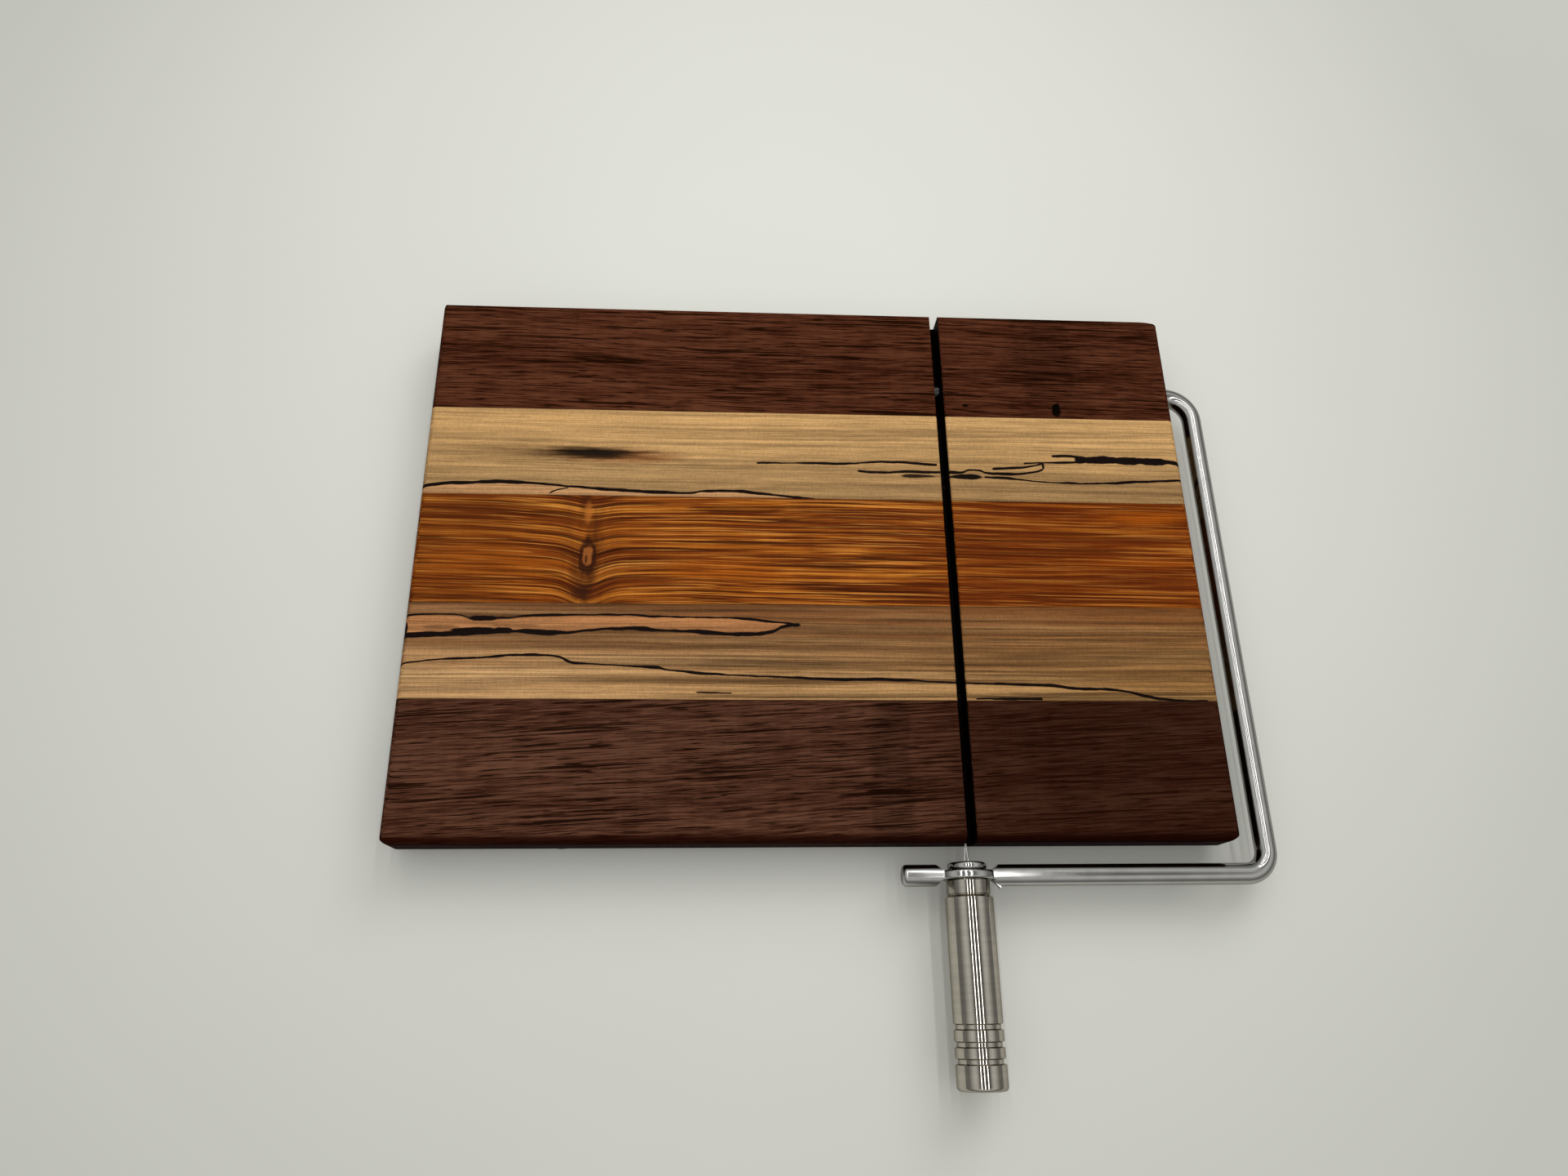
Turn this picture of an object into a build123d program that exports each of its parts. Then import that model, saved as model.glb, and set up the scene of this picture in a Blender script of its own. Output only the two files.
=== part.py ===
from build123d import *
import os

# Cheese wire cutter: a laminated board with a saw slot, and a bent rod frame that swings
# on a pivot leg inside the board and carries a tensioned wire through the slot.
# Millimetres. +X runs along the board to the right, +Y to the back, +Z up.
# While modelling, X = Y = 0 is near the board's centre and Z = 0 is the table.

# Board
BOARD_THICKNESS = 12.7
LEFT_X = -127.5
RIGHT_X = 127.8
FRONT_Y = -93.3
BACK_Y = 92.4
STRIP_JOINTS_Y = [FRONT_Y, -50.2, -19.0, 18.7, 51.0, BACK_Y]
STRIP_NAMES = [
    "walnut_strip_front",
    "maple_strip_front",
    "orange_strip_middle",
    "maple_strip_back",
    "walnut_strip_back",
]
# Edge rounding, heaviest along the handle side and crisp along the back
FRONT_TOP_ROUND = 3.0
FRONT_BOTTOM_ROUND = 2.0
BACK_TOP_ROUND = 1.0
BACK_BOTTOM_ROUND = 1.0
END_TOP_ROUND = 2.0
END_BOTTOM_ROUND = 1.4
# Outline corners as (x, y, corner radius); the back edge is sanded off towards the right
SANDED_LENGTH = 6.2
SANDED_WIDTH = 1.5
BOARD_CORNERS = [
    (LEFT_X, FRONT_Y, 3.0),
    (RIGHT_X, FRONT_Y, 3.5),
    (RIGHT_X, BACK_Y - SANDED_WIDTH, 0.5),
    (RIGHT_X - SANDED_LENGTH, BACK_Y, 45.0),
    (LEFT_X, BACK_Y, 2.0),
]

# Saw slot that the wire drops into
SLOT_X = 45.6
SLOT_WIDTH = 3.0
SLOT_DEPTH = 8.2
SLOT_CHAMFER = 0.35

# Rubber feet
FOOT_HEIGHT = 5.0
FOOT_TOP_RADIUS = 6.35
FOOT_BOTTOM_RADIUS = 6.1
FOOT_EDGE_ROUND = 0.6
FOOT_POCKET_RADIUS = 3.5
FOOT_POCKET_DEPTH = 2.4
INSERT_RADIUS = 4.6
INSERT_THICKNESS = 0.8
SCREW_RADIUS = 1.45
SCREW_GRIP = 8.5
SCREW_TIP = 2.0
SCREW_HEAD_RADIUS = 2.7
SCREW_HEAD_HEIGHT = 1.6
FOOT_CENTRES = {
    "front_left": (-77.5, -86.5),
    "front_right": (79.0, -84.5),
    "back_left": (-79.0, 83.5),
    "back_right": (79.0, 83.5),
}

# Rod frame
ROD_RADIUS = 3.175
ROD_DROP = 6.35
PIVOT_Y = 64.0
PIVOT_END_X = 38.3
RIGHT_RUN_X = 137.5
FRONT_RUN_Y = -102.3
STUB_END_X = 24.8
STUB_ROUND = 1.4
BACK_BEND_RADIUS = 9.5
FRONT_BEND_RADIUS = 7.0
PIVOT_CLEARANCE = 0.08
PIVOT_END_GAP = 0.6

# Flattened eyelet in the front run
EYELET_LEFT_X = 36.8
EYELET_RIGHT_X = 52.2
EYELET_TAPER = 1.9
EYELET_THICKNESS = 2.6
EYELET_HALF_HEIGHT = 6.0
EYELET_EDGE_ROUND = 0.7
FLASH_REACH = 0.7

# Wire, its end ball and its loop
WIRE_X = 44.6
WIRE_RADIUS = 0.225
WIRE_HOLE_RADIUS = 0.45
TWIST_RADIUS = 0.45
TWIST_START_Y = -84.5
LOOP_SPLIT_Y = -93.7
LOOP_WIDE_Y = -98.6
LOOP_HALF_WIDTH = 0.95
BALL_RADIUS = 1.1
BALL_SEAT_RADIUS = 1.35
BALL_SEAT_Y = PIVOT_Y + 0.6

# Tension bolt and its pin
HEAD_GAP = 0.1
HEAD_RADIUS = 5.8
HEAD_THICKNESS = 2.2
HEAD_ROUND = 0.85
SHANK_RADIUS = 3.0
SHANK_LENGTH = 24.0
BOLT_CLEARANCE = 0.1
BOLT_BORE_RADIUS = 1.4
BOLT_BORE_DEPTH = 8.0
PIN_RADIUS = 0.6
PIN_LENGTH = 5.4
PIN_Y = -103.1

# Handle
HANDLE_GAP = 0.1
HANDLE_LENGTH = 57.0
HANDLE_RADIUS = 7.1
HANDLE_NECK_RADIUS = 6.4
HANDLE_NECK_LENGTH = 4.1
HANDLE_COVE = 0.35
HANDLE_KNOB_RADIUS = 7.25
HANDLE_END_ROUND = 1.1
HANDLE_BORE_DEPTH = 26.0
GROOVE_STARTS = [39.5, 44.1, 48.5]
GROOVE_WIDTH = 1.75
GROOVE_DEPTH = 0.7
GROOVE_SLOPE = 0.35

# Derived places; the reach is a length beyond the board's edges from its centre
BOARD_REACH = 150.0
TOP_Z = FOOT_HEIGHT + BOARD_THICKNESS
ROD_Z = TOP_Z - ROD_DROP
EYELET_FRONT_Y = FRONT_RUN_Y - EYELET_THICKNESS / 2
EYELET_BACK_Y = FRONT_RUN_Y + EYELET_THICKNESS / 2
HEAD_BACK_Y = EYELET_BACK_Y + HEAD_GAP + HEAD_THICKNESS
HANDLE_START_Y = EYELET_FRONT_Y - HANDLE_GAP
HANDLE_END_Y = HANDLE_START_Y - HANDLE_LENGTH

# The row's origin: middle of the whole object's box, at table height
ORIGIN_X = (RIGHT_RUN_X + ROD_RADIUS + LEFT_X) / 2
ORIGIN_Y = (HANDLE_END_Y + BACK_Y) / 2


def turned(points):
    """Solid turned about Z from a closed outline of (radius, height) points."""
    outline = Plane.XZ * make_face(Polyline(*points, close=True))
    return revolve(outline, Axis.Z, 360)


def rod_along_x(radius, x_from, x_to, y, z):
    """Round bar between two X positions."""
    bar = Cylinder(radius, x_to - x_from, rotation=(0, 90, 0))
    return Pos((x_from + x_to) / 2, y, z) * bar


def on_wire_axis(shape, y_start):
    """Place a shape modelled up +Z so that it runs from y_start towards the front."""
    return Pos(WIRE_X, y_start, ROD_Z) * Rot(90, 0, 0) * shape


# ---------------------------------------------------------------- board

def rounded_outline(corners):
    """Flat face from (x, y, corner radius) values."""
    outline = make_face(Polyline(*[(x, y) for x, y, _ in corners], close=True))
    for x, y, radius in corners:
        corner = outline.vertices().sort_by_distance((x, y, 0))[:1]
        outline = fillet(corner, radius)
    return outline


def board_section(low, high, bottom_rounds, top_rounds):
    """Upright section through the board, with a rounding at each of its four edges."""
    return rounded_outline([
        (low, FOOT_HEIGHT, bottom_rounds[0]),
        (high, FOOT_HEIGHT, bottom_rounds[1]),
        (high, TOP_Z, top_rounds[1]),
        (low, TOP_Z, top_rounds[0]),
    ])


def board_blank():
    """The glued-up board before slot and holes, with its corners and edges rounded."""
    ends = (END_BOTTOM_ROUND, END_BOTTOM_ROUND), (END_TOP_ROUND, END_TOP_ROUND)
    sides = (FRONT_BOTTOM_ROUND, BACK_BOTTOM_ROUND), (FRONT_TOP_ROUND, BACK_TOP_ROUND)
    across = Plane.XZ * board_section(LEFT_X, RIGHT_X, *ends)
    along = Plane.YZ * board_section(FRONT_Y, BACK_Y, *sides)
    blank = extrude(rounded_outline(BOARD_CORNERS), 2 * TOP_Z)
    blank &= extrude(across, BOARD_REACH, both=True)
    return blank & extrude(along, BOARD_REACH, both=True)


def slot_cutter():
    """Saw kerf along Y, with its top arrises eased."""
    half = SLOT_WIDTH / 2
    wide = half + SLOT_CHAMFER
    floor_z = TOP_Z - SLOT_DEPTH
    outline = Polyline(
        (-half, floor_z),
        (half, floor_z),
        (half, TOP_Z - SLOT_CHAMFER),
        (wide, TOP_Z),
        (wide, TOP_Z + 1),
        (-wide, TOP_Z + 1),
        (-wide, TOP_Z),
        (-half, TOP_Z - SLOT_CHAMFER),
        close=True,
    )
    return Pos(SLOT_X, 0, 0) * extrude(Plane.XZ * make_face(outline), BOARD_REACH, both=True)


def pivot_bore_cutter():
    """Blind hole from the board's right end for the pivot leg, with a countersunk mouth."""
    bore_radius = ROD_RADIUS + PIVOT_CLEARANCE
    bore = rod_along_x(bore_radius, PIVOT_END_X - PIVOT_END_GAP, RIGHT_X + 1, PIVOT_Y, ROD_Z)
    sink = turned([(0, 0), (bore_radius + 0.5, 0), (bore_radius, -0.5), (0, -0.5)])
    return bore + Pos(RIGHT_X, PIVOT_Y, ROD_Z) * Rot(0, 90, 0) * sink


def screw_shank(centre):
    """Plain screw body with a pointed tip; the same shape is the pilot hole."""
    start_z = FOOT_POCKET_DEPTH
    end_z = FOOT_HEIGHT + SCREW_GRIP
    shank = turned([
        (0, start_z),
        (SCREW_RADIUS, start_z),
        (SCREW_RADIUS, end_z - SCREW_TIP),
        (0, end_z),
    ])
    return Pos(*centre, 0) * shank


def board_strips():
    """The five laminated strips, each cut from the shared blank."""
    blank = board_blank() - slot_cutter() - pivot_bore_cutter()
    for centre in FOOT_CENTRES.values():
        blank -= screw_shank(centre)
    strips = {}
    for name, y_low, y_high in zip(STRIP_NAMES, STRIP_JOINTS_Y[:-1], STRIP_JOINTS_Y[1:]):
        band = Box(2 * BOARD_REACH, y_high - y_low, 2 * BOARD_REACH)
        strips[name] = blank & (Pos(0, (y_low + y_high) / 2, 0) * band)
    return strips


# ---------------------------------------------------------------- feet

def rubber_foot(centre):
    """Tapered rubber foot, hollow for the screw head, moulded round a steel insert."""
    body = turned([
        (0, 0),
        (FOOT_BOTTOM_RADIUS, 0),
        (FOOT_TOP_RADIUS, FOOT_HEIGHT),
        (0, FOOT_HEIGHT),
    ])
    body = fillet(body.faces().sort_by(Axis.Z)[0].edges(), FOOT_EDGE_ROUND)
    pocket = Pos(0, 0, FOOT_POCKET_DEPTH / 2) * Cylinder(FOOT_POCKET_RADIUS, FOOT_POCKET_DEPTH)
    hole = Cylinder(SCREW_RADIUS, 4 * FOOT_HEIGHT)
    return Pos(*centre, 0) * (body - pocket - hole - insert_ring(INSERT_RADIUS))


def insert_ring(radius):
    """Disc in the plane of the steel insert."""
    middle = FOOT_POCKET_DEPTH + INSERT_THICKNESS / 2
    return Pos(0, 0, middle) * Cylinder(radius, INSERT_THICKNESS)


def foot_insert(centre):
    """Steel washer moulded into the foot; the screw head bears on it."""
    ring = insert_ring(INSERT_RADIUS) - Cylinder(SCREW_RADIUS, 4 * FOOT_HEIGHT)
    return Pos(*centre, 0) * ring


def foot_screw(centre):
    """Pan-head screw with a cross recess, driven up into the board."""
    low_z = FOOT_POCKET_DEPTH - SCREW_HEAD_HEIGHT
    head = Pos(0, 0, low_z + SCREW_HEAD_HEIGHT / 2) * Cylinder(SCREW_HEAD_RADIUS, SCREW_HEAD_HEIGHT)
    head = fillet(head.faces().sort_by(Axis.Z)[0].edges(), SCREW_HEAD_HEIGHT * 0.5)
    recess = Box(3.2, 0.7, 2.0) + Box(0.7, 3.2, 2.0)
    head -= Pos(0, 0, low_z) * recess
    return screw_shank(centre) + Pos(*centre, 0) * head


# ---------------------------------------------------------------- rod frame

def rod_path():
    """Centreline of the bent rod, from the pivot end round to the stub end."""
    corners = [
        (PIVOT_END_X, PIVOT_Y),
        (RIGHT_RUN_X, PIVOT_Y),
        (RIGHT_RUN_X, FRONT_RUN_Y),
        (STUB_END_X, FRONT_RUN_Y),
    ]
    line = FilletPolyline(*corners, radius=[BACK_BEND_RADIUS, FRONT_BEND_RADIUS])
    return Pos(0, 0, ROD_Z) * line


def forging_cutter(side):
    """Metal pressed away on one side (+1 back, -1 front) where the rod is flattened."""
    shallow = EYELET_THICKNESS / 2
    deep = 2 * ROD_RADIUS
    rise = ROD_RADIUS - shallow
    outline = Polyline(
        (EYELET_LEFT_X - EYELET_TAPER, shallow + rise),
        (EYELET_LEFT_X, shallow),
        (EYELET_RIGHT_X, shallow),
        (EYELET_RIGHT_X + EYELET_TAPER, shallow + rise),
        (EYELET_RIGHT_X + EYELET_TAPER, deep),
        (EYELET_LEFT_X - EYELET_TAPER, deep),
        close=True,
    )
    block = extrude(make_face(outline), 2 * ROD_RADIUS, both=True)
    if side < 0:
        block = mirror(block, Plane.XZ)
    return Pos(0, FRONT_RUN_Y, ROD_Z) * block


def eyelet_blade():
    """Oval blade that the flattened metal spreads into."""
    half_length = (EYELET_RIGHT_X - EYELET_LEFT_X) / 2 + EYELET_TAPER / 2
    oval = Plane.XZ * Ellipse(half_length, EYELET_HALF_HEIGHT)
    blade = extrude(oval, EYELET_THICKNESS / 2, both=True)
    blade = fillet(blade.edges(), EYELET_EDGE_ROUND)
    return Pos((EYELET_LEFT_X + EYELET_RIGHT_X) / 2, FRONT_RUN_Y, ROD_Z) * blade


def forging_flash():
    """Small ear of metal squeezed out at the front of the right shoulder."""
    front = FRONT_RUN_Y - ROD_RADIUS
    shoulder = EYELET_RIGHT_X + EYELET_TAPER
    outline = Polyline(
        (shoulder - EYELET_TAPER, front + ROD_RADIUS * 0.45),
        (shoulder + 0.2, front - FLASH_REACH),
        (shoulder + 0.2, front + ROD_RADIUS),
        close=True,
    )
    return Pos(0, 0, ROD_Z) * extrude(make_face(outline), 0.9, both=True)


def frame_rod():
    """Bent rod with its pivot leg, flattened eyelet and short stub."""
    path = rod_path()
    rod = sweep(Plane(path.wire() @ 0, z_dir=(1, 0, 0)) * Circle(ROD_RADIUS), path)
    rod = fillet(rod.faces().sort_by(Axis.X)[0].edges(), STUB_ROUND)
    rod -= forging_cutter(1) + forging_cutter(-1)
    rod += eyelet_blade()
    rod += forging_flash()
    rod -= on_wire_axis(Cylinder(SHANK_RADIUS + BOLT_CLEARANCE, 40), FRONT_RUN_Y)
    rod -= on_wire_axis(Cylinder(WIRE_HOLE_RADIUS, 4 * ROD_RADIUS), PIVOT_Y)
    seat_depth = PIVOT_Y + 2 * ROD_RADIUS - BALL_SEAT_Y
    seat = Cylinder(BALL_SEAT_RADIUS, seat_depth)
    return rod - on_wire_axis(seat, BALL_SEAT_Y + seat_depth / 2)


# ---------------------------------------------------------------- wire

def wire_end_ball():
    """Ball swaged on the wire's back end, seated inside the pivot leg."""
    centre_y = BALL_SEAT_Y + BALL_RADIUS
    return on_wire_axis(Sphere(BALL_RADIUS) - Cylinder(WIRE_RADIUS, 4 * BALL_RADIUS), centre_y)


def straight_wire(radius, y_back, y_front):
    """Round wire along the wire axis between two Y positions."""
    length = y_back - y_front
    return on_wire_axis(Pos(0, 0, length / 2) * Cylinder(radius, length), y_back)


def wire_loop():
    """Open loop that spreads from the twist and passes round the anchor pin."""
    end_y = PIN_Y - LOOP_HALF_WIDTH
    round_radius = LOOP_HALF_WIDTH - 0.01
    corners = [
        (-WIRE_RADIUS, LOOP_SPLIT_Y),
        (-LOOP_HALF_WIDTH, LOOP_WIDE_Y),
        (-LOOP_HALF_WIDTH, end_y),
        (LOOP_HALF_WIDTH, end_y),
        (LOOP_HALF_WIDTH, LOOP_WIDE_Y),
        (WIRE_RADIUS, LOOP_SPLIT_Y),
    ]
    radii = [2.0, round_radius, round_radius, 2.0]
    path = Pos(WIRE_X, 0, ROD_Z) * FilletPolyline(*corners, radius=radii)
    start = Plane(path.wire() @ 0, z_dir=path.wire() % 0)
    return sweep(start * Circle(WIRE_RADIUS), path)


def cutting_wire():
    """Wire strand, twisted neck and loop in one piece."""
    back_y = BALL_SEAT_Y + 2 * BALL_RADIUS
    strand = straight_wire(WIRE_RADIUS, back_y, TWIST_START_Y)
    neck = straight_wire(TWIST_RADIUS, TWIST_START_Y, LOOP_SPLIT_Y - WIRE_RADIUS)
    return strand + neck + wire_loop()


# ---------------------------------------------------------------- tension bolt and handle

def tension_bolt():
    """Round-headed bolt, drilled up its axis for the loop and across for the pin."""
    end = HEAD_THICKNESS + SHANK_LENGTH
    bolt = turned([
        (0, 0),
        (HEAD_RADIUS, 0),
        (HEAD_RADIUS, HEAD_THICKNESS),
        (SHANK_RADIUS, HEAD_THICKNESS),
        (SHANK_RADIUS, end - 0.6),
        (SHANK_RADIUS - 0.6, end),
        (0, end),
    ])
    rims = bolt.edges().filter_by(GeomType.CIRCLE).sort_by(SortBy.RADIUS)[-2:]
    bolt = fillet(rims, HEAD_ROUND)
    bolt -= Pos(0, 0, BOLT_BORE_DEPTH / 2) * Cylinder(BOLT_BORE_RADIUS, BOLT_BORE_DEPTH)
    return on_wire_axis(bolt, HEAD_BACK_Y) - anchor_pin_bar(4 * SHANK_RADIUS)


def anchor_pin_bar(length):
    """Upright round bar on the anchor pin's axis."""
    return Pos(WIRE_X, PIN_Y, ROD_Z) * Cylinder(PIN_RADIUS, length)


def handle_grip():
    """Turned metal handle: neck, plain barrel, three grooves and an end knob."""
    outline = [
        (0, 0),
        (HANDLE_NECK_RADIUS - 0.4, 0),
        (HANDLE_NECK_RADIUS, 0.4),
        (HANDLE_NECK_RADIUS, HANDLE_NECK_LENGTH),
        (HANDLE_NECK_RADIUS - HANDLE_COVE, HANDLE_NECK_LENGTH + HANDLE_COVE / 2),
        (HANDLE_NECK_RADIUS - HANDLE_COVE, HANDLE_NECK_LENGTH + HANDLE_COVE),
        (HANDLE_RADIUS, HANDLE_NECK_LENGTH + HANDLE_COVE + 0.75),
    ]
    floor_radius = HANDLE_RADIUS - GROOVE_DEPTH
    for start in GROOVE_STARTS:
        wide = HANDLE_KNOB_RADIUS if start == GROOVE_STARTS[-1] else HANDLE_RADIUS
        outline += [
            (HANDLE_RADIUS, start),
            (floor_radius, start + GROOVE_SLOPE),
            (floor_radius, start + GROOVE_WIDTH - GROOVE_SLOPE),
            (wide, start + GROOVE_WIDTH),
        ]
    outline += [(HANDLE_KNOB_RADIUS, HANDLE_LENGTH), (0, HANDLE_LENGTH)]
    handle = turned(outline)
    handle = fillet(handle.faces().sort_by(Axis.Z)[-1].edges(), HANDLE_END_ROUND)
    bore = Cylinder(SHANK_RADIUS + BOLT_CLEARANCE, HANDLE_BORE_DEPTH)
    handle -= Pos(0, 0, HANDLE_BORE_DEPTH / 2) * bore
    return on_wire_axis(handle, HANDLE_START_Y)


# ---------------------------------------------------------------- assembly

def all_parts():
    """Every sub-part by node name, in modelling coordinates."""
    parts = board_strips()
    for place, centre in FOOT_CENTRES.items():
        parts["rubber_foot_" + place] = rubber_foot(centre)
        parts["foot_insert_" + place] = foot_insert(centre)
        parts["foot_screw_" + place] = foot_screw(centre)
    parts["frame_rod"] = frame_rod()
    parts["cutting_wire"] = cutting_wire()
    parts["wire_end_ball"] = wire_end_ball()
    parts["tension_bolt"] = tension_bolt()
    parts["anchor_pin"] = anchor_pin_bar(PIN_LENGTH)
    parts["handle_grip"] = handle_grip()
    return parts


def main():
    os.makedirs("parts", exist_ok=True)
    for name, shape in all_parts().items():
        placed = Pos(-ORIGIN_X, -ORIGIN_Y, 0) * shape
        export_step(placed, "parts/" + name + ".step")


main()
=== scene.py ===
"""A cheese wire cutter on a pale table.

A laminated board has a slot that a taut wire drops into. The wire is strung between the two
ends of a bent rod frame, which swings about its back leg, and a turned handle draws it tight.

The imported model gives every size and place. This script adds the finishes, the wire's own
twisted strands, the table, the light and the camera. Lengths are in metres, except inside the
materials: a wood's places are millimetres from a point near the middle of the board's top,
X to the right and Y to the back, and a metal's are millimetres in the frame.
"""

import math

import bpy
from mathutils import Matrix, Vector

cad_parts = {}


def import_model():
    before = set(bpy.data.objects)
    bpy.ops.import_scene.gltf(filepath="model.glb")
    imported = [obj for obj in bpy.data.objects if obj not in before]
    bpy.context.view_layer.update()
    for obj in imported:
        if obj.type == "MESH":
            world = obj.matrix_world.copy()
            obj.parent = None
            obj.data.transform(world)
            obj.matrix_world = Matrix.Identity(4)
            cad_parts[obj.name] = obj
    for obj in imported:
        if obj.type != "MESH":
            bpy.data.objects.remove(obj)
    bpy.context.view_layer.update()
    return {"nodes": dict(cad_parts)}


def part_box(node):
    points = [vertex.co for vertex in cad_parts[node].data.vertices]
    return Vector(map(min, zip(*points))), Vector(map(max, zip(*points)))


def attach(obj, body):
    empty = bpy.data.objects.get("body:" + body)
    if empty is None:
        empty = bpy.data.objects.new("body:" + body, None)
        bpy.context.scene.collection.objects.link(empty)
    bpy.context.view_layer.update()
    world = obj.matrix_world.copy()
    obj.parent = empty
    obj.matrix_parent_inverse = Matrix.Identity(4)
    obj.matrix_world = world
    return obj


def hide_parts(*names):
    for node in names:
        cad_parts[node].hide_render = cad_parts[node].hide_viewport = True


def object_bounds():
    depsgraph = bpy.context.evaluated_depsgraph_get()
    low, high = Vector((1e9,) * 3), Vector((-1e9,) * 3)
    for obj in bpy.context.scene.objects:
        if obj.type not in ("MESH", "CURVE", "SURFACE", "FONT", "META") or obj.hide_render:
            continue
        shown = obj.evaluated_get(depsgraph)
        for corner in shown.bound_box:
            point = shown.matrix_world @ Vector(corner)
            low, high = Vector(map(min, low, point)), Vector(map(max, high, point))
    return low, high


MM = 0.001
TO_MM = 1000.0

# The woods' zero point, in millimetres from the middle strip's left end and front joint.
ZERO_FROM_END = 127.5
ZERO_FROM_JOINT = 19.0

# Edges of the board and walls of its slot, in millimetres from the zero point.
LEFT_EDGE, RIGHT_EDGE = -127.5, 127.8
FRONT_EDGE = -93.3
SLOT_LEFT, SLOT_RIGHT = 43.9, 47.3

# How bright the end faces are beside the face grain: their end grain is darker, and they carry
# painted shade as they turn away from the light.
END_GRAIN_AND_SHADE = 0.25

# Camera: where it stands from the zero point and how it is turned, and its lens in millimetres.
CAMERA_PLACE = (-29.70, -136.82, 316.44)
CAMERA_TURN = (21.34, -3.37, -0.72)
CAMERA_LENS = 24.375
CAMERA_SENSOR = 36.0

# The steel inside the board, left of and behind these places, is painted near black as shade.
SHADE_END, SHADE_FRONT = 60.0, 50.0

# The table's painted pool of light, in millimetres: where its palest middle is and how far it
# fades, X and Y.
TABLE_LIGHT_POOL = (-10.0, 110.0, 330.0, 380.0)

# What the steels give back of light that grazes them.
EDGE_TINT = (0.5, 0.48, 0.45, 1.0)

# How much of its own colour a surface facing up gives back under this light.
LIGHT_LEVEL = 0.84

# The room's glow from the horizon (0) to overhead (1): walls, a lit ceiling, a dark middle.
ROOM_GLOW = (
    (0.0, (0.24, 0.24, 0.235)),
    (0.35, (0.25, 0.25, 0.24)),
    (0.55, (0.55, 0.55, 0.53)),
    (0.72, (0.8, 0.8, 0.78)),
    (0.84, (0.7, 0.7, 0.68)),
    (0.93, (0.14, 0.135, 0.13)),
    (1.0, (0.12, 0.115, 0.11)),
)

# The room's overall brightness.
ROOM_STRENGTH = 0.87

# Three ceiling strips that run front to back: their angles from straight above the handle,
# in degrees, their height, middle and size, and what each square metre sends out.
STRIP_ANGLES = (-16.0, -1.4, 14.0)
STRIP_HEIGHT = 2.0
STRIP_MIDDLE_Y = 0.5
STRIP_SIZE = (0.08, 3.0)
STRIP_RADIANCE = 8.0

# The soft lamp behind the board, on its right.
BACK_LAMP_PLACE = (0.9, 1.5, 1.3)
BACK_LAMP_SIZE = (1.4, 1.0)
BACK_LAMP_RADIANCE = 2.6

LAMP_COLOUR = (1.0, 1.0, 0.985)
TABLE_HALF = 2.5

# The wire: its radius, half the loop's width, how far behind the anchor pin the loop opens
# and the twist starts, and the twist's turns and steps.
WIRE_RADIUS = 0.225 * MM
LOOP_HALF_WIDTH = 0.95 * MM
LOOP_LENGTH = 9.5 * MM
NECK_REACH = 18.8 * MM
TWIST_TURNS, TWIST_STEPS = 4.5, 90

# Specular levels of the oiled woods.
WALNUT_SHINE = 0.004
PALE_WOOD_SHINE = 0.03


def linear(red, green, blue, level=1.0):
    """The linear colour of 0-255 display values, divided by a light level."""

    def channel(value):
        value /= 255
        return value / 12.92 if value <= 0.04045 else ((value + 0.055) / 1.055) ** 2.4

    return (*(min(channel(value) / level, 1.0) for value in (red, green, blue)), 1.0)


def tone(red, green, blue):
    """A surface colour that looks like these 0-255 values under the scene's light."""
    return linear(red, green, blue, LIGHT_LEVEL)


# --------------------------------------------------------------------------- wiring


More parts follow.
